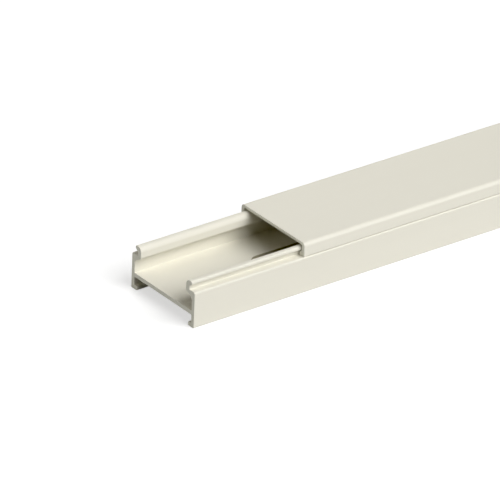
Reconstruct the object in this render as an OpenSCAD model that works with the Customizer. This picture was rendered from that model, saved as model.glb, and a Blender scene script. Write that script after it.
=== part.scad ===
// Mini cable trunking: a channel with snap rails, and a lid that hooks over the rails.
// The stock lies along X on its two feet, with the lid drawn back from the front end.

/* [Stock] */
// Outside width of the section
trunk_w = 30; // [24:0.5:60]
// Outside height of the section with the lid on
trunk_h = 16; // [14:0.5:40]
// Length of the base, and of the lid
stock_l = 2000; // [300:10:3000]
// How far the lid is drawn back from the front end
lid_pull = 39; // [0:1:200]

/* [Base channel] */
// Thickness of the side walls
wall_t = 1.3; // [0.9:0.1:1.8]
// Thickness of the floor
floor_t = 1.3; // [0.8:0.1:2]
// Height of the recess under the floor
recess_h = 3.9; // [2.2:0.1:5.5]
// Width of each foot, from the outer face
foot_w = 2.7; // [2.2:0.1:8]
// Thickness of each foot
foot_t = 1.3; // [0.8:0.1:2]
// Drop from the shoulder to where the web leaves the wall
web_drop = 2.4; // [1.6:0.05:3.2]
// Slope of the web under the rail
web_angle = 30; // [25:1:45]

/* [Snap rail] */
// Thickness of the rail's stem
stem_t = 1.6; // [1.2:0.1:2]
// Height of the rail head's outer face
head_h = 1; // [0.8:0.05:2]
// How far the rail head overhangs the lid's hook
hook_bite = 0.8; // [0.4:0.05:1.2]
// Slope of the head's underside and of the hook's back
hook_angle = 35; // [20:1:45]

/* [Lid] */
// Thickness of the lid's top
lid_t = 0.9; // [0.7:0.1:1.8]
// Thickness of the lid's lips
lip_t = 1.3; // [0.9:0.1:1.8]
// Thickness of the hook at its tip
hook_tip_t = 0.9; // [0.3:0.05:1.2]

/* [Clearances] */
// Gap between the lid's lips and the shoulders
seat_gap = 0.1; // [0.05:0.05:0.4]
// Gap around the rail's head and the hook's tip
rail_gap = 0.25; // [0.1:0.05:0.4]
// Gap between the rail's top and the lid's underside
top_gap = 0.75; // [0.2:0.05:1]

/* [Edges] */
// Radius of the lid's long outer edges
lid_edge_r = 1.2; // [0.5:0.1:1.5]
// Radius of the shoulders' outer edges
shoulder_r = 0.6; // [0.3:0.1:1]
// Radius of the rail head's inner edge
head_inner_r = 1.6; // [0.4:0.1:1.9]
// Radius of the rail head's outer edge
head_outer_r = 0.5; // [0.2:0.1:0.7]
// Radius of the small outer edges
edge_r = 0.3; // [0.1:0.05:0.4]
// Radius of the hook's tip
tip_r = 0.12; // [0.05:0.01:0.15]
// Radius in the small inner corners
fillet_r = 0.3; // [0.1:0.05:0.4]
// Radius where the floor's top meets the walls
floor_r = 0.15; // [0.1:0.05:1]
// Radius in the corners of the hook and the stem
neck_r = 0.2; // [0.1:0.05:0.25]
// Bend radius of the web
bend_r = 1; // [0.4:0.1:1.4]

/* [Fixing slots] */
// Width of a slot
slot_w = 6; // [3:0.5:10]
// Length of a slot, end to end
slot_l = 23; // [12:1:40]
// Distance from one slot's middle to the next
slot_pitch = 239; // [60:1:280]
// Least distance from an end of the base to a slot's middle
slot_inset = 44; // [24:1:100]

/* [Hidden] */
$fn = 48;
pvc_white = [0.89, 0.88, 0.84];
cut_past = 1;
corner_past = 0.2;

half_w = trunk_w / 2;
base_x = -lid_pull / 2;
lid_x = lid_pull / 2;
floor_z = recess_h + floor_t;

// Depths in from the outer face: rail head, hook tip, stem and the rail's inner face
head_in = lip_t + rail_gap;
hook_in = head_in + hook_bite;
stem_in = hook_in + rail_gap;
rail_in = stem_in + stem_t;

// Heights from the lid's top down to the shoulder on which the lips sit
lid_under_z = trunk_h - lid_t;
rail_top_z = lid_under_z - top_gap;
head_low_z = rail_top_z - head_h;
neck_z = head_low_z - (stem_in - head_in) * tan(hook_angle);
hook_tip_z = head_low_z - rail_gap / cos(hook_angle) - hook_bite * tan(hook_angle);
hook_root_z = hook_tip_z + (hook_in - lip_t) * tan(hook_angle);
lip_z = hook_tip_z - hook_tip_t;
shoulder_z = lip_z - seat_gap;
web_low_z = shoulder_z - web_drop;
web_high_z = web_low_z + (rail_in - wall_t) * tan(web_angle);

// Slots are spread evenly about the middle of the base
slot_count = floor((stock_l - 2 * slot_inset) / slot_pitch) + 1;
slot_first_x = base_x - (slot_count - 1) * slot_pitch / 2;

// Right half of the base's outline, from under the floor round to its top: [y, z, corner radius]
base_half = [
    [half_w - wall_t, recess_h, fillet_r],
    [half_w - wall_t, foot_t, fillet_r],
    [half_w - foot_w, foot_t, edge_r],
    [half_w - foot_w, 0, edge_r],
    [half_w, 0, edge_r],
    [half_w, shoulder_z, shoulder_r],
    [half_w - stem_in, shoulder_z, neck_r],
    [half_w - stem_in, neck_z, neck_r],
    [half_w - head_in, head_low_z, edge_r],
    [half_w - head_in, rail_top_z, head_outer_r],
    [half_w - rail_in, rail_top_z, head_inner_r],
    [half_w - rail_in, web_high_z, bend_r],
    [half_w - wall_t, web_low_z, bend_r],
    [half_w - wall_t, floor_z, floor_r]
];

// Right half of the lid's outline, from its underside round to its top: [y, z, corner radius]
lid_half = [
    [half_w - lip_t, lid_under_z, fillet_r],
    [half_w - lip_t, hook_root_z, neck_r],
    [half_w - hook_in, hook_tip_z, tip_r],
    [half_w - hook_in, lip_z, tip_r],
    [half_w, lip_z, edge_r],
    [half_w, trunk_h, lid_edge_r]
];

function unit(v) = v / norm(v);

function xy(p) = [p.x, p.y];

// The half outline followed by its mirror image, as one closed outline
function both_sides(half) =
    concat(half, [for (i = [len(half) - 1 : -1 : 0]) [-half[i].x, half[i].y, half[i].z]]);

// A corner of a closed outline: its point, the directions back and ahead along its edges, its radius
function corner(outline, i) =
    let (n = len(outline), at = xy(outline[i]))
    let (back = xy(outline[(i + n - 1) % n]), ahead = xy(outline[(i + 1) % n]))
    [at, unit(back - at), unit(ahead - at), outline[i].z];

// An inner corner turns against the outline's own direction
function is_inner(c) = cross(c[1], c[2]) > 0;

function half_angle(c) = acos(c[1] * c[2]) / 2;

function arc_centre(c) = c[0] + unit(c[1] + c[2]) * c[3] / sin(half_angle(c));

// The two points where the corner's arc leaves its edges
function arc_ends(c) = let (reach = c[3] / tan(half_angle(c))) [c[0] + c[1] * reach, c[0] + c[2] * reach];

// The sliver between an outer corner and its arc
module outer_sliver(c) {
    centre = arc_centre(c);
    ends = arc_ends(c);
    difference() {
        polygon([centre, ends[0], c[0] + (c[0] - centre) * corner_past, ends[1]]);
        translate(centre) circle(c[3]);
    }
}

// Closed outline with every corner rounded to its own radius
module rounded_outline(outline) {
    corners = [for (i = [0 : len(outline) - 1]) corner(outline, i)];
    difference() {
        polygon([for (c = corners) each is_inner(c) ? arc_ends(c) : [c[0]]]);
        for (c = corners) {
            if (is_inner(c))
                translate(arc_centre(c)) circle(c[3]);
            else
                outer_sliver(c);
        }
    }
}

// Section carried along X over the stock's length, with its middle at the given place
module extruded_stock(half, middle_x) {
    translate([middle_x, 0, 0])
        rotate([90, 0, 90])
            linear_extrude(stock_l, center = true)
                rounded_outline(both_sides(half));
}

module slot_outline() {
    straight = slot_l - slot_w;
    square([straight, slot_w], center = true);
    for (side = [-1, 1])
        translate([side * straight / 2, 0]) circle(d = slot_w);
}

module fixing_slots() {
    for (i = [0 : slot_count - 1])
        translate([slot_first_x + i * slot_pitch, 0, recess_h - cut_past])
            linear_extrude(floor_t + 2 * cut_past)
                slot_outline();
}

module base_channel() {
    color(pvc_white)
        difference() {
            extruded_stock(base_half, base_x);
            fixing_slots();
        }
}

module lid() {
    color(pvc_white) extruded_stock(lid_half, lid_x);
}

base_channel();
lid();
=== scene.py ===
"""Dresses a length of cable trunking: a channel with snap rails, and a lid that hooks over them.

The section is written in millimetres, as an extruder's drawing gives it, and becomes metres when
a mesh is made. Each piece is a skin carried along X, in the place of the solid that it stands for.
"""
import logging
import math
from dataclasses import dataclass, field
from enum import Enum

import bpy
import numpy as np
from mathutils import Matrix, Vector


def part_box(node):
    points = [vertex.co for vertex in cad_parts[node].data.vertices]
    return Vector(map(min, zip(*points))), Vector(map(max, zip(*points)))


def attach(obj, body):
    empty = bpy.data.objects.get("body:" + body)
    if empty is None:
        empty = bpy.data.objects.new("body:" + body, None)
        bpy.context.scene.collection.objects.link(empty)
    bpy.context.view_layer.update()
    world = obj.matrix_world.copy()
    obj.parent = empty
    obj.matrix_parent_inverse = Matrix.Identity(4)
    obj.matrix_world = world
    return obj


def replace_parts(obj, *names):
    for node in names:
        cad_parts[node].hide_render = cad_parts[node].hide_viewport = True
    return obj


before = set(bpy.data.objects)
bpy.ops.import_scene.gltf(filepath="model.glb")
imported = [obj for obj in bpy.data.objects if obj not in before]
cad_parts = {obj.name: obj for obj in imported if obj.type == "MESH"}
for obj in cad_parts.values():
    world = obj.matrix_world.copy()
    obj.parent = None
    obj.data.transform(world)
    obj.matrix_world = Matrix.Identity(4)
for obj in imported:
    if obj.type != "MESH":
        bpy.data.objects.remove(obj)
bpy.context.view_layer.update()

LOG = logging.getLogger("trunking")
MM = 0.001

Array = np.ndarray
Colour = tuple[float, float, float]
Ends = tuple[float, float]


class Node(Enum):
    """The solids that the pieces stand for."""

    BASE = "base_channel"
    LID = "lid"


class Body(Enum):
    """The bodies that the pieces ride on."""

    BASE = "base"
    COVER = "cover"


class Slot(Enum):
    """The material slots that the pieces take their finish from."""

    BASE = "base_pvc"
    LID = "lid_pvc"


class Mark(Enum):
    """The point attributes that tell cut faces from extruded ones: any cut, and a punched one. The
    punched one puts painted shade on the slot walls.
    """

    CUT = "cut_face"
    PUNCHED = "punched_face"


class Mixed(Enum):
    """The kinds of value that a blend goes between, as the Mix node names them."""

    COLOUR = "RGBA"
    NUMBER = "FLOAT"

    @property
    def socket_word(self) -> str:
        """The word that ends the names of the Mix node's sockets for this kind."""
        return "Color" if self is Mixed.COLOUR else "Float"


SAWN_MARKS = np.array([1.0, 0.0])
PUNCHED_MARKS = np.array([1.0, 1.0])


def unit(vectors: Array) -> Array:
    """Scales vectors along the last axis to length one."""
    return vectors / np.linalg.norm(vectors, axis=-1, keepdims=True)


def cross_flat(first: Array, second: Array) -> Array:
    """Cross product of plane vectors, which is the signed area that they span."""
    return first[..., 0] * second[..., 1] - first[..., 1] * second[..., 0]


def opaque(colour: Colour) -> tuple[float, float, float, float]:
    """A colour with full alpha, as sockets take it."""
    return (*colour, 1.0)


def ring_quads(numbers: Array) -> Array:
    """Joins neighbouring rows of a grid whose columns close on themselves.

    Args:
        numbers: Vertex numbers, with rows and columns as the last two axes.

    Returns:
        Four vertex numbers for each face. The faces look outwards if the columns turn left as seen
        from the last row, and inwards if they turn right.
    """
    ahead = np.roll(numbers, -1, axis=-1)
    return np.stack(
        [numbers[..., :-1, :], ahead[..., :-1, :], ahead[..., 1:, :], numbers[..., 1:, :]], axis=-1
    )


@dataclass(frozen=True)
class RoundedEdge:
    """A small rounded edge between a face and a wall that meets it squarely.

    The edge is a quarter circle. At the turn t, from 0 on the face to a right angle on the wall,
    it stands in from the wall by radius * (1 - sin t) and back from the face by
    radius * (1 - cos t).
    """

    radius: float
    steps: int = 4

    @property
    def turn(self) -> Array:
        """Angles from the face round to the wall."""
        return np.linspace(0.0, math.pi / 2, self.steps)

    @property
    def inset(self) -> Array:
        """Distances in from the wall."""
        return self.radius * (1 - np.sin(self.turn))

    @property
    def setback(self) -> Array:
        """Distances back from the face."""
        return self.radius * (1 - np.cos(self.turn))


@dataclass(frozen=True)
class Outline:
    """A closed section outline that turns left, as points in Y and Z with outward normals."""

    points: Array
    normals: Array

    @classmethod
    def from_half(cls, half: Array, arc_steps: int) -> "Outline":
        """Mirrors a half outline and rounds every corner to its own radius.

        A corner's arc has its centre on the corner's bisector, at radius / sin(half the corner's
        angle), and turns evenly from the edge behind to the edge ahead. The arcs form a grid of
        corner by step.

        Args:
            half: Rows of y, z and corner radius, for the side where y is positive.
            arc_steps: Points on each arc.

        Returns:
            The outline, with its straight runs left as the gaps between the arcs.
        """
        corners = np.concatenate([half, half[::-1] * (-1.0, 1.0, 1.0)])
        at, radius = corners[:, :2], corners[:, 2:]
        back = unit(np.roll(at, 1, axis=0) - at)
        ahead = unit(np.roll(at, -1, axis=0) - at)
        half_angle = np.arccos(np.sum(back * ahead, axis=1, keepdims=True)) / 2
        centre = at + unit(back + ahead) * radius / np.sin(half_angle)
        first = at + back * radius / np.tan(half_angle) - centre
        last = at + ahead * radius / np.tan(half_angle) - centre
        start = np.arctan2(first[:, 1], first[:, 0])
        turn = np.arctan2(cross_flat(first, last), np.sum(first * last, axis=1))
        angle = start[:, None] + turn[:, None] * np.linspace(0.0, 1.0, arc_steps)
        spoke = np.stack([np.cos(angle), np.sin(angle)], axis=-1)
        outward = -np.sign(cross_flat(back, ahead))[:, None, None]
        points = centre[:, None, :] + radius[:, None, :] * spoke
        return cls(points.reshape(-1, 2), (outward * spoke).reshape(-1, 2))


@dataclass
class Skin:
    """A closed mesh gathered patch by patch: points, normals, marks of cut faces, and faces."""

    points: list[Array] = field(default_factory=list)
    normals: list[Array] = field(default_factory=list)
    marks: list[Array] = field(default_factory=list)
    faces: list[list[int]] = field(default_factory=list)
    count: int = 0

    def add_points(self, points: Array, normals: Array, marks: Array) -> Array:
        """Adds a grid of points.

        Args:
            points: Places in mm, with x, y and z along the last axis.
            normals: Shading normals, in a shape that spreads over the grid.
            marks: How far each point belongs to a cut and to a punched face, along the last axis,
                in a shape that spreads over the grid.

        Returns:
            The new vertex numbers, in the grid's shape.
        """
        shape = points.shape[:-1]
        numbers = self.count + np.arange(math.prod(shape)).reshape(shape)
        self.points.append(points.reshape(-1, 3))
        self.normals.append(np.broadcast_to(normals, points.shape).reshape(-1, 3))
        self.marks.append(np.broadcast_to(marks, (*shape, len(Mark))).reshape(-1, len(Mark)))
        self.count += numbers.size
        return numbers

    def add_faces(self, corners: Array) -> None:
        """Adds faces, given as rows of vertex numbers that turn left when seen from outside."""
        self.faces += corners.reshape(-1, corners.shape[-1]).tolist()

    def extrude(self, outline: Outline, ends: Ends, between: Array, edge: RoundedEdge) -> Array:
        """Carries an outline along X from one sawn end to the other and closes both ends.

        A point of the skin is (x, outline - inset * normal). The inset is nothing along the stock,
        and at each end it follows the rounded edge in to the sawn face.

        Args:
            outline: The section.
            ends: Lowest and highest x.
            between: Further places along X that need a ring of points.
            edge: The rounding of the sawn ends' edges.

        Returns:
            Vertex numbers as a grid of place along X by point of the outline.
        """
        plain = np.zeros(len(between))
        along = np.concatenate([ends[0] + edge.setback, between, ends[1] - edge.setback[::-1]])
        inset = np.concatenate([edge.inset, plain, edge.inset[::-1]])
        lean = np.concatenate([-np.cos(edge.turn), plain, np.cos(edge.turn[::-1])])
        section = outline.points[None] - inset[:, None, None] * outline.normals[None]
        places = np.broadcast_to(along[:, None, None], (*section.shape[:2], 1))
        upright = np.sqrt(1 - lean**2)[:, None, None] * outline.normals[None]
        leaning = np.broadcast_to(lean[:, None, None], places.shape)
        grid = self.add_points(
            np.concatenate([places, section], axis=-1),
            np.concatenate([leaning, upright], axis=-1),
            np.abs(lean)[:, None, None] * SAWN_MARKS,
        )
        self.add_faces(grid[:1, ::-1])
        self.add_faces(grid[-1:])
        return grid

    def to_object(self, name: str) -> bpy.types.Object:
        """Puts the skin into a mesh object in metres, at the origin.

        Args:
            name: The piece's name.

        Returns:
            The new object, linked to the scene.
        """
        mesh = bpy.data.meshes.new(name)
        mesh.from_pydata((np.concatenate(self.points) * MM).tolist(), [], self.faces)
        mesh.shade_smooth()
        mesh.normals_split_custom_set_from_vertices(np.concatenate(self.normals).tolist())
        for mark, values in zip(Mark, np.concatenate(self.marks).T):
            attribute = mesh.attributes.new(mark.value, "FLOAT", "POINT")
            attribute.data.foreach_set("value", values.copy())
        mesh.update()
        piece = bpy.data.objects.new(name, mesh)
        bpy.context.scene.collection.objects.link(piece)
        return piece


@dataclass(frozen=True)
class Section:
    """The section's sizes in mm, and the depths and heights that follow from them."""

    trunk_w: float = 30.0
    trunk_h: float = 16.0
    wall_t: float = 1.3
    floor_t: float = 1.3
    recess_h: float = 3.9
    foot_w: float = 2.7
    foot_t: float = 1.3
    web_drop: float = 2.4
    web_angle: float = 30.0
    stem_t: float = 1.6
    head_h: float = 1.0
    hook_bite: float = 0.8
    hook_angle: float = 35.0
    lid_t: float = 0.9
    lip_t: float = 1.3
    hook_tip_t: float = 0.9
    seat_gap: float = 0.1
    rail_gap: float = 0.25
    top_gap: float = 0.75
    lid_edge_r: float = 1.2
    shoulder_r: float = 0.6
    head_inner_r: float = 1.6
    head_outer_r: float = 0.5
    edge_r: float = 0.3
    tip_r: float = 0.12
    fillet_r: float = 0.3
    floor_r: float = 0.15
    neck_r: float = 0.2
    bend_r: float = 1.0

    @property
    def half_w(self) -> float:
        """Half the section's width."""
        return self.trunk_w / 2

    @property
    def floor_z(self) -> float:
        """Height of the floor's top."""
        return self.recess_h + self.floor_t

    @property
    def head_in(self) -> float:
        """Depth from the outer face to the rail's head."""
        return self.lip_t + self.rail_gap

    @property
    def hook_in(self) -> float:
        """Depth from the outer face to the tip of the lid's hook."""
        return self.head_in + self.hook_bite

    @property
    def stem_in(self) -> float:
        """Depth from the outer face to the rail's stem."""
        return self.hook_in + self.rail_gap

    @property
    def rail_in(self) -> float:
        """Depth from the outer face to the rail's inner face."""
        return self.stem_in + self.stem_t

    @property
    def lid_under_z(self) -> float:
        """Height of the lid's underside."""
        return self.trunk_h - self.lid_t

    @property
    def rail_top_z(self) -> float:
        """Height of the rail's top."""
        return self.lid_under_z - self.top_gap

    @property
    def head_low_z(self) -> float:
        """Height of the rail head's lower edge."""
        return self.rail_top_z - self.head_h

    @property
    def hook_slope(self) -> float:
        """Rise over run of the hook's back and of the head's underside."""
        return math.tan(math.radians(self.hook_angle))

    @property
    def neck_z(self) -> float:
        """Height at which the head's underside meets the stem."""
        return self.head_low_z - (self.stem_in - self.head_in) * self.hook_slope

    @property
    def hook_tip_z(self) -> float:
        """Height of the top of the hook's tip."""
        square_gap = self.rail_gap / math.cos(math.radians(self.hook_angle))
        return self.head_low_z - square_gap - self.hook_bite * self.hook_slope

    @property
    def hook_root_z(self) -> float:
        """Height at which the hook leaves the lip."""
        return self.hook_tip_z + (self.hook_in - self.lip_t) * self.hook_slope

    @property
    def lip_z(self) -> float:
        """Height of the lips' lower edge."""
        return self.hook_tip_z - self.hook_tip_t

    @property
    def shoulder_z(self) -> float:
        """Height of the shoulders under the lips."""
        return self.lip_z - self.seat_gap

    @property
    def web_slope(self) -> float:
        """Rise over run of the web."""
        return math.tan(math.radians(self.web_angle))

    @property
    def web_low_z(self) -> float:
        """Height at which the web leaves the wall."""
        return self.shoulder_z - self.web_drop

    @property
    def web_high_z(self) -> float:
        """Height at which the web meets the rail."""
        return self.web_low_z + (self.rail_in - self.wall_t) * self.web_slope

    def base_half(self) -> Array:
        """Half of the base's outline.

        Returns:
            Rows of y, z and corner radius, from under the floor round to its top.
        """
        wall, outer = self.half_w - self.wall_t, self.half_w
        foot, stem = outer - self.foot_w, outer - self.stem_in
        head, rail = outer - self.head_in, outer - self.rail_in
        return np.array([
            (wall, self.recess_h, self.fillet_r),
            (wall, self.foot_t, self.fillet_r),
            (foot, self.foot_t, self.edge_r),
            (foot, 0.0, self.edge_r),
            (outer, 0.0, self.edge_r),
            (outer, self.shoulder_z, self.shoulder_r),
            (stem, self.shoulder_z, self.neck_r),
            (stem, self.neck_z, self.neck_r),
            (head, self.head_low_z, self.edge_r),
            (head, self.rail_top_z, self.head_outer_r),
            (rail, self.rail_top_z, self.head_inner_r),
            (rail, self.web_high_z, self.bend_r),
            (wall, self.web_low_z, self.bend_r),
            (wall, self.floor_z, self.floor_r),
        ])

    def lid_half(self) -> Array:
        """Half of the lid's outline.

        Returns:
            Rows of y, z and corner radius, from the underside round to the top.
        """
        lip, tip, outer = self.half_w - self.lip_t, self.half_w - self.hook_in, self.half_w
        return np.array([
            (lip, self.lid_under_z, self.fillet_r),
            (lip, self.hook_root_z, self.neck_r),
            (tip, self.hook_tip_z, self.tip_r),
            (tip, self.lip_z, self.tip_r),
            (outer, self.lip_z, self.edge_r),
            (outer, self.trunk_h, self.lid_edge_r),
        ])


@dataclass(frozen=True)
class Grain:
    """A noise's features in each millimetre along X, Y and Z, its octaves, and its turn about X."""

    per_mm: tuple[float, float, float]
    octaves: float
    turn_deg: float = 0.0


class NodeSheet:
    """A material's node tree, with short calls that add nodes and join them."""

    def __init__(self, name: str) -> None:
        """Starts a material whose tree holds only its output.

        Args:
            name: The material's name.
        """
        self.material = bpy.data.materials.new(name)
        self.material.use_nodes = True
        self.tree = self.material.node_tree
        self.tree.nodes.clear()
        self.output = self.tree.nodes.new("ShaderNodeOutputMaterial")

    def add(
        self, kind: str, inputs: dict[str, object] | None = None, **settings: object
    ) -> bpy.types.Node:
        """Adds a node.

        Args:
            kind: The node's type name without its ShaderNode prefix.
            inputs: Value or source socket for each named input.
            settings: Properties of the node itself.

        Returns:
            The new node.
        """
        node = self.tree.nodes.new("ShaderNode" + kind)
        for key, value in settings.items():
            setattr(node, key, value)
        for key, value in (inputs or {}).items():
            self.feed(node, key, value)
        return node

    def feed(self, node: bpy.types.Node, key: str, value: object) -> None:
        """Sets an input to a value, or joins a source socket to it.

        Args:
            node: The node that is fed.
            key: The input's identifier.
            value: A plain value, or the output socket of another node.
        """
        socket = next(s for s in node.inputs if s.identifier == key)
        if isinstance(value, bpy.types.NodeSocket):
            self.tree.links.new(value, socket)
        else:
            socket.default_value = value

    def noise(self, grain: Grain) -> bpy.types.NodeSocket:
        """Adds a noise that is stretched along the piece's own axes.

        Args:
            grain: How fine the noise is along each axis, and how it is turned.

        Returns:
            The noise's value, from 0 to 1.
        """
        place = self.add("TexCoord").outputs["Object"]
        turn = (math.radians(grain.turn_deg), 0.0, 0.0)
        turned = self.add("Mapping", {"Vector": place, "Rotation": turn})
        scale = tuple(count / MM for count in grain.per_mm)
        stretched = self.add("Mapping", {"Vector": turned.outputs["Vector"], "Scale": scale})
        source = {"Vector": stretched.outputs["Vector"], "Scale": 1.0, "Detail": grain.octaves}
        return self.add("TexNoise", source).outputs["Fac"]

    def blend(
        self, kind: Mixed, factor: bpy.types.NodeSocket, low: object, high: object
    ) -> bpy.types.NodeSocket:
        """Goes from one value to another as a factor goes from 0 to 1.

        Args:
            kind: Whether colours or numbers are blended.
            factor: The source of the factor.
            low: Value or source at 0.
            high: Value or source at 1.

        Returns:
            The blended value.
        """
        word = kind.socket_word
        inputs = {"Factor_Float": factor, f"A_{word}": low, f"B_{word}": high}
        node = self.add("Mix", inputs, data_type=kind.value)
        return next(s for s in node.outputs if s.identifier == f"Result_{word}")


@dataclass(frozen=True)
class ExtrudedPvc:
    """Satin rigid PVC as it leaves the die, with duller faces where it was sawn or punched.

    Broad clouds tint the tone a little. Die lines run along X: they vary the roughness and stand a
    few thousandths of a millimetre high. A cut face shows the blade's slanting marks as well. A
    punched one, the wall of a slot, is painted darker: painted shade for the shadow in the slots.
    Heights are in mm.
    """

    name: str
    tone: Colour = (0.785, 0.763, 0.672)
    streak_tone: Colour = (0.77, 0.747, 0.655)
    cut_tone: Colour = (0.778, 0.78, 0.713)
    cut_streak_tone: Colour = (0.71, 0.709, 0.645)
    # Painted shade: the slot walls' darker tone stands in for the shadow inside the slots.
    slot_shade_tone: Colour = (0.55, 0.5, 0.38)
    roughness: tuple[float, float] = (0.58, 0.72)
    cut_roughness: tuple[float, float] = (0.65, 0.85)
    specular: float = 0.35
    line_height: float = 0.006
    blade_height: float = 0.02
    clouds: Grain = Grain((0.012, 0.12, 0.12), 2.0)
    die_lines: Grain = Grain((0.003, 1.6, 1.6), 3.0)
    blade_marks: Grain = Grain((0.1, 0.25, 4.5), 2.0, 24.0)

    def material(self) -> bpy.types.Material:
        """Makes the material.

        Returns:
            A new material that reads the piece's own coordinates and its marks of cut faces.
        """
        sheet = NodeSheet(self.name)
        cut = sheet.add("Attribute", attribute_name=Mark.CUT.value).outputs["Fac"]
        # The punched mark picks out the slot walls, which take the painted shade.
        punched = sheet.add("Attribute", attribute_name=Mark.PUNCHED.value).outputs["Fac"]
        clouds = sheet.noise(self.clouds)
        lines = sheet.noise(self.die_lines)
        blade = sheet.noise(self.blade_marks)
        die_tint = sheet.blend(Mixed.COLOUR, clouds, opaque(self.tone), opaque(self.streak_tone))
        sawn_tint = sheet.blend(
            Mixed.COLOUR, blade, opaque(self.cut_tone), opaque(self.cut_streak_tone)
        )
        # Blends the painted shade of the slot walls into the sawn tint.
        cut_tint_with_slot_shade = sheet.blend(Mixed.COLOUR, punched, sawn_tint, opaque(self.slot_shade_tone))
        die_rough = sheet.blend(Mixed.NUMBER, lines, *self.roughness)
        cut_rough = sheet.blend(Mixed.NUMBER, blade, *self.cut_roughness)
        die_relief = sheet.add("Bump", {"Height": lines, "Distance": self.line_height * MM})
        relief = sheet.add(
            "Bump",
            {
                "Strength": cut,
                "Height": blade,
                "Distance": self.blade_height * MM,
                "Normal": die_relief.outputs["Normal"],
            },
        )
        plastic = sheet.add(
            "BsdfPrincipled",
            {
                "Base Color": sheet.blend(Mixed.COLOUR, cut, die_tint, cut_tint_with_slot_shade),
                "Roughness": sheet.blend(Mixed.NUMBER, cut, die_rough, cut_rough),
                "Specular IOR Level": self.specular,
                "Normal": relief.outputs["Normal"],
            },
        )
        sheet.feed(sheet.output, "Surface", plastic.outputs["BSDF"])
        return sheet.material


@dataclass(frozen=True)
class FixingSlots:
    """The floor's long holes for screws, in mm: a straight run with a half circle at each end."""

    width: float = 6.0
    length: float = 23.0
    pitch: float = 239.0
    inset: float = 44.0
    cell_margin: float = 4.0
    quarter_steps: int = 10

    def centres(self, ends: Ends) -> Array:
        """Spreads the slots evenly about the middle of the stock.

        Args:
            ends: Lowest and highest x of the stock.

        Returns:
            The x of each slot's middle.
        """
        gaps = math.floor((ends[1] - ends[0] - 2 * self.inset) / self.pitch)
        return sum(ends) / 2 + (np.arange(gaps + 1) - gaps / 2) * self.pitch

    def cell_edges(self, ends: Ends) -> Array:
        """Places along X between which the floor is cut, two for each slot."""
        reach = self.length / 2 + self.cell_margin
        return (self.centres(ends)[:, None] + np.array([-reach, reach])).ravel()

    def outline(self) -> tuple[Array, Array]:
        """One slot's outline about its middle, which turns left from its lower right quarter.

        A quarter's points turn evenly about the centre of its end's half circle.

        Returns:
            Points in X and Y, and the directions from the slot out into the floor.
        """
        half_turn = np.linspace(-math.pi / 2, math.pi / 2, 2 * self.quarter_steps)
        angle = np.concatenate([half_turn, half_turn + math.pi])
        outward = np.stack([np.cos(angle), np.sin(angle)], axis=-1)
        side = np.repeat([1.0, -1.0], 2 * self.quarter_steps)
        points = outward * self.width / 2
        points[:, 0] += side * (self.length - self.width) / 2
        return points, outward


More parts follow.
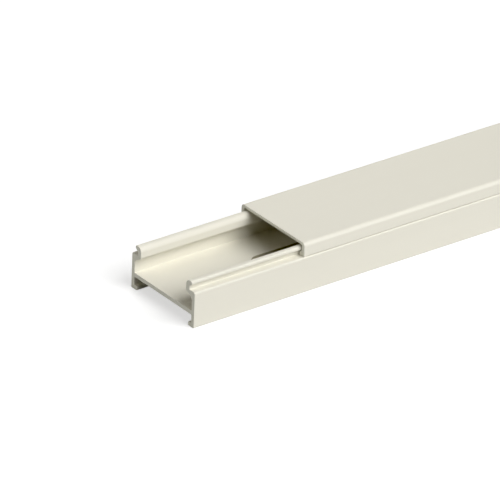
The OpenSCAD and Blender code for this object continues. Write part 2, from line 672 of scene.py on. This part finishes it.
@dataclass
class BaseChannel:
    """The channel: two walls with snap rails, a raised slotted floor and a foot under each wall."""

    section: Section
    slots: FixingSlots
    finish: ExtrudedPvc
    ends: Ends
    arc_steps: int = 10
    sawn_edge: RoundedEdge = RoundedEdge(0.08)
    punched_edge: RoundedEdge = RoundedEdge(0.08)

    def build(self) -> bpy.types.Object:
        """Carries the section along the stock and cuts the slots into its floor.

        Returns:
            The finished piece.
        """
        skin = Skin()
        outline = Outline.from_half(self.section.base_half(), self.arc_steps)
        grid = skin.extrude(outline, self.ends, self.slots.cell_edges(self.ends), self.sawn_edge)
        faces = ring_quads(grid)
        top, under = len(outline.points) // 2 - 1, len(outline.points) - 1
        end_rings = self.sawn_edge.steps
        cells = np.arange(end_rings, len(grid) - end_rings, 2)
        kept = np.ones(faces.shape[:2], bool)
        kept[np.ix_(cells, [top, under])] = False
        skin.add_faces(faces[kept])
        rims = self.add_slot_walls(skin)
        for rim, column, upward in ((rims[:, 0], top, True), (rims[:, -1], under, False)):
            pair = grid[:, [column, (column + 1) % grid.shape[1]]]
            corners = np.stack([pair[cells], pair[cells + 1]], axis=1)
            self.add_cells(skin, rim, corners, upward)
        return self.dress(skin.to_object(Node.BASE.value + "_skin"))

    def add_slot_walls(self, skin: Skin) -> Array:
        """Adds the walls of all slots, rounded at the floor's top and underside.

        A wall is the slot's outline carried down through the floor. On each rounded edge it stands
        out by the edge's inset, and its normal turns from upright to level.

        Args:
            skin: The skin that takes the walls.

        Returns:
            Vertex numbers as a grid of slot by ring by point, from the floor's top down.
        """
        points, outward = self.slots.outline()
        edge = self.punched_edge
        upper = self.section.floor_z - edge.setback
        lower = self.section.recess_h + edge.setback[::-1]
        height = np.concatenate([upper, lower])[:, None, None]
        spread = np.concatenate([edge.inset, edge.inset[::-1]])[:, None, None]
        rise = np.concatenate([np.cos(edge.turn), -np.cos(edge.turn[::-1])])[:, None, None]
        flat = points[None] + spread * outward[None]
        level = -np.sqrt(1 - rise**2) * outward[None]
        column = (*flat.shape[:2], 1)
        one_slot = np.concatenate([flat, np.broadcast_to(height, column)], axis=-1)
        normals = np.concatenate([level, np.broadcast_to(rise, column)], axis=-1)
        shift = self.slots.centres(self.ends)[:, None] * np.array([1.0, 0.0, 0.0])
        # The punched mark on these walls takes the painted shade of the slots.
        marks = (1 - np.abs(rise)) * PUNCHED_MARKS
        rims = skin.add_points(one_slot[None] + shift[:, None, None], normals[None], marks)
        skin.add_faces(ring_quads(rims))
        return rims

    def add_cells(self, skin: Skin, rim: Array, corners: Array, upward: bool) -> None:
        """Fills the floor between each slot's rim and the four corners of its cell.

        Each quarter of the rim is a fan about its own corner, and a four-sided face joins two fans.

        Args:
            skin: The skin that takes the faces.
            rim: Vertex numbers as a grid of slot by point.
            corners: Vertex numbers as a grid of slot by end of the cell by side of the floor.
            upward: Whether the floor's face looks up.
        """
        near_far = corners if upward else corners[:, :, ::-1]
        around = np.stack(
            [near_far[:, 1, 1], near_far[:, 1, 0], near_far[:, 0, 0], near_far[:, 0, 1]], axis=1
        )
        quarters = rim.reshape(len(rim), 4, -1)
        hub = np.broadcast_to(around[:, :, None], quarters[:, :, 1:].shape)
        fans = np.stack([quarters[:, :, :-1], hub, quarters[:, :, 1:]], axis=-1)
        next_corner = np.roll(around, -1, axis=1)
        next_start = np.roll(quarters[:, :, 0], -1, axis=1)
        joins = np.stack([quarters[:, :, -1], around, next_corner, next_start], axis=-1)
        turn = 1 if upward else -1
        skin.add_faces(fans[..., ::turn])
        skin.add_faces(joins[..., ::turn])

    def dress(self, piece: bpy.types.Object) -> bpy.types.Object:
        """Gives the piece its finish and its place on the base.

        Args:
            piece: The channel's skin.

        Returns:
            The same piece.
        """
        piece.data.materials.append(self.finish.material())
        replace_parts(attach(piece, Body.BASE.value), Node.BASE.value)
        return piece


@dataclass
class Lid:
    """The lid: a flat top and two lips, each with a wedge hook that catches under a rail."""

    section: Section
    finish: ExtrudedPvc
    ends: Ends
    arc_steps: int = 12
    sawn_edge: RoundedEdge = RoundedEdge(0.08)

    def build(self) -> bpy.types.Object:
        """Carries the section along the stock.

        Returns:
            The finished piece.
        """
        skin = Skin()
        outline = Outline.from_half(self.section.lid_half(), self.arc_steps)
        grid = skin.extrude(outline, self.ends, np.empty(0), self.sawn_edge)
        skin.add_faces(ring_quads(grid))
        return self.dress(skin.to_object(Node.LID.value + "_skin"))

    def dress(self, piece: bpy.types.Object) -> bpy.types.Object:
        """Gives the piece its finish and its place on the cover.

        Args:
            piece: The lid's skin.

        Returns:
            The same piece.
        """
        piece.data.materials.append(self.finish.material())
        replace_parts(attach(piece, Body.COVER.value), Node.LID.value)
        return piece


@dataclass(frozen=True)
class SoftLight:
    """A broad light that shines from one direction all along the stock.

    The azimuth is measured from -Y, the side that the camera stands on, towards +X, and the
    elevation up from the floor.
    """

    name: str
    azimuth_deg: float
    elevation_deg: float
    spread_deg: float
    strength: float
    tone: Colour = (1.0, 1.0, 1.0)

    def build(self) -> None:
        """Hangs the light."""
        azimuth, elevation = math.radians(self.azimuth_deg), math.radians(self.elevation_deg)
        source = Vector((math.sin(azimuth), -math.cos(azimuth), math.tan(elevation)))
        light = bpy.data.lights.new(self.name, "SUN")
        light.energy = self.strength
        light.color = self.tone
        light.angle = math.radians(self.spread_deg)
        lamp = bpy.data.objects.new(self.name, light)
        lamp.matrix_world = source.to_track_quat("Z", "Y").to_matrix().to_4x4()
        bpy.context.scene.collection.objects.link(lamp)


@dataclass(frozen=True)
class Studio:
    """A plain pale floor under soft lights: a key, a side light, and weak ones all round.

    The floor is a sheet that is lit from below for the camera only, so that it looks white and
    throws no more light on the part than its own tone gives. The picture's black level takes the
    haze out of the shadows. The floor's reach and its drop under the feet are in metres.
    """

    floor_tone: Colour = (0.5, 0.5, 0.5)
    floor_rough: float = 0.7
    floor_reach: float = 40.0
    floor_drop: float = 0.00002
    glow_tone: Colour = (1.0, 1.0, 1.0)
    glow: float = 0.6
    black_level: float = 0.02
    lights: tuple[SoftLight, ...] = (
        SoftLight("key", 10.5, 45.6, 50.0, 2.17),
        SoftLight("side", 32.0, 42.6, 45.0, 1.27),
        SoftLight("rim", 150.0, 16.0, 30.0, 0.5),
        SoftLight("back", 180.0, 50.0, 60.0, 0.3),
        SoftLight("end", -98.0, 15.0, 40.0, 0.76, (1.0, 0.962, 0.83)),
    )

    def build(self) -> None:
        """Makes the floor, the lights and dark surroundings, and sets how the picture shows."""
        self.add_floor()
        for light in self.lights:
            light.build()
        world = bpy.data.worlds.new("surroundings")
        world.use_nodes = True
        world.node_tree.nodes["Background"].inputs["Strength"].default_value = 0.0
        scene = bpy.context.scene
        scene.world = world
        view = scene.view_settings
        view.view_transform = "Standard"
        view.use_curve_mapping = True
        view.curve_mapping.black_level = (self.black_level,) * 3
        view.curve_mapping.update()

    def add_floor(self) -> None:
        """Lays the floor as a square of one face, a hair under the feet."""
        sides = np.array([(-1, -1), (1, -1), (1, 1), (-1, 1)]) * self.floor_reach
        points = np.column_stack([sides, np.full(len(sides), -self.floor_drop)])
        mesh = bpy.data.meshes.new("floor")
        mesh.from_pydata(points.tolist(), [], [list(range(len(points)))])
        sheet = NodeSheet("pale_floor")
        seen = sheet.add("LightPath").outputs["Is Camera Ray"]
        paint = sheet.add(
            "BsdfPrincipled",
            {
                "Base Color": opaque(self.floor_tone),
                "Roughness": self.floor_rough,
                "Emission Color": opaque(self.glow_tone),
                "Emission Strength": sheet.blend(Mixed.NUMBER, seen, 0.0, self.glow),
            },
        )
        sheet.feed(sheet.output, "Surface", paint.outputs["BSDF"])
        mesh.materials.append(sheet.material)
        floor = bpy.data.objects.new("floor", mesh)
        bpy.context.scene.collection.objects.link(floor)


@dataclass(frozen=True)
class ViewCamera:
    """The camera, placed so that the middle of the front end's foot line falls on a given pixel.

    It looks along the azimuth, measured from +Y towards +X, down by the elevation and turned by the
    roll. It stands back so far that a millimetre at that middle spans the given number of pixels.
    """

    azimuth_deg: float = 38.147
    elevation_deg: float = 27.905
    roll_deg: float = 2.346
    focal_px: float = 7297.0
    px_per_mm: float = 3.5017
    target_px: tuple[float, float] = (162.2, 307.68)
    image_px: float = 500.0
    sensor_mm: float = 36.0
    sight_m: float = 100.0

    def build(self, target: Vector) -> None:
        """Makes the camera and gives it to the scene.

        Args:
            target: The middle of the front end's foot line.
        """
        azimuth, elevation = math.radians(self.azimuth_deg), math.radians(self.elevation_deg)
        ahead = Vector((math.sin(azimuth), math.cos(azimuth), -math.tan(elevation))).normalized()
        level = Vector((math.cos(azimuth), -math.sin(azimuth), 0.0))
        right = Matrix.Rotation(-math.radians(self.roll_deg), 3, ahead) @ level
        up = right.cross(ahead)
        px = MM / self.px_per_mm
        across, down = (pixel - self.image_px / 2 for pixel in self.target_px)
        place = target - ahead * self.focal_px * px - right * across * px + up * down * px
        data = bpy.data.cameras.new("view")
        data.sensor_width = self.sensor_mm
        data.lens = self.sensor_mm * self.focal_px / self.image_px
        data.clip_end = self.sight_m
        camera = bpy.data.objects.new("view", data)
        turned = Matrix((right, up, -ahead)).transposed().to_4x4()
        camera.matrix_world = Matrix.Translation(place) @ turned
        bpy.context.scene.collection.objects.link(camera)
        bpy.context.scene.camera = camera


def ends_of(node: Node) -> Ends:
    """Lowest and highest x of a solid, in mm."""
    low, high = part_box(node.value)
    return low.x / MM, high.x / MM


def report(piece: bpy.types.Object) -> None:
    """Logs a piece's name and size of mesh."""
    mesh = piece.data
    LOG.info("%s: %d vertices, %d faces", piece.name, len(mesh.vertices), len(mesh.polygons))


def main() -> None:
    """Builds the pieces in order, then the studio and the camera."""
    logging.basicConfig(level=logging.INFO)
    section = Section()
    base_finish, lid_finish = ExtrudedPvc(Slot.BASE.value), ExtrudedPvc(Slot.LID.value)
    base_ends, lid_ends = ends_of(Node.BASE), ends_of(Node.LID)
    report(BaseChannel(section, FixingSlots(), base_finish, base_ends).build())
    report(Lid(section, lid_finish, lid_ends).build())
    Studio().build()
    ViewCamera().build(Vector((base_ends[0] * MM, 0.0, 0.0)))


if __name__ == "__main__":
    main()
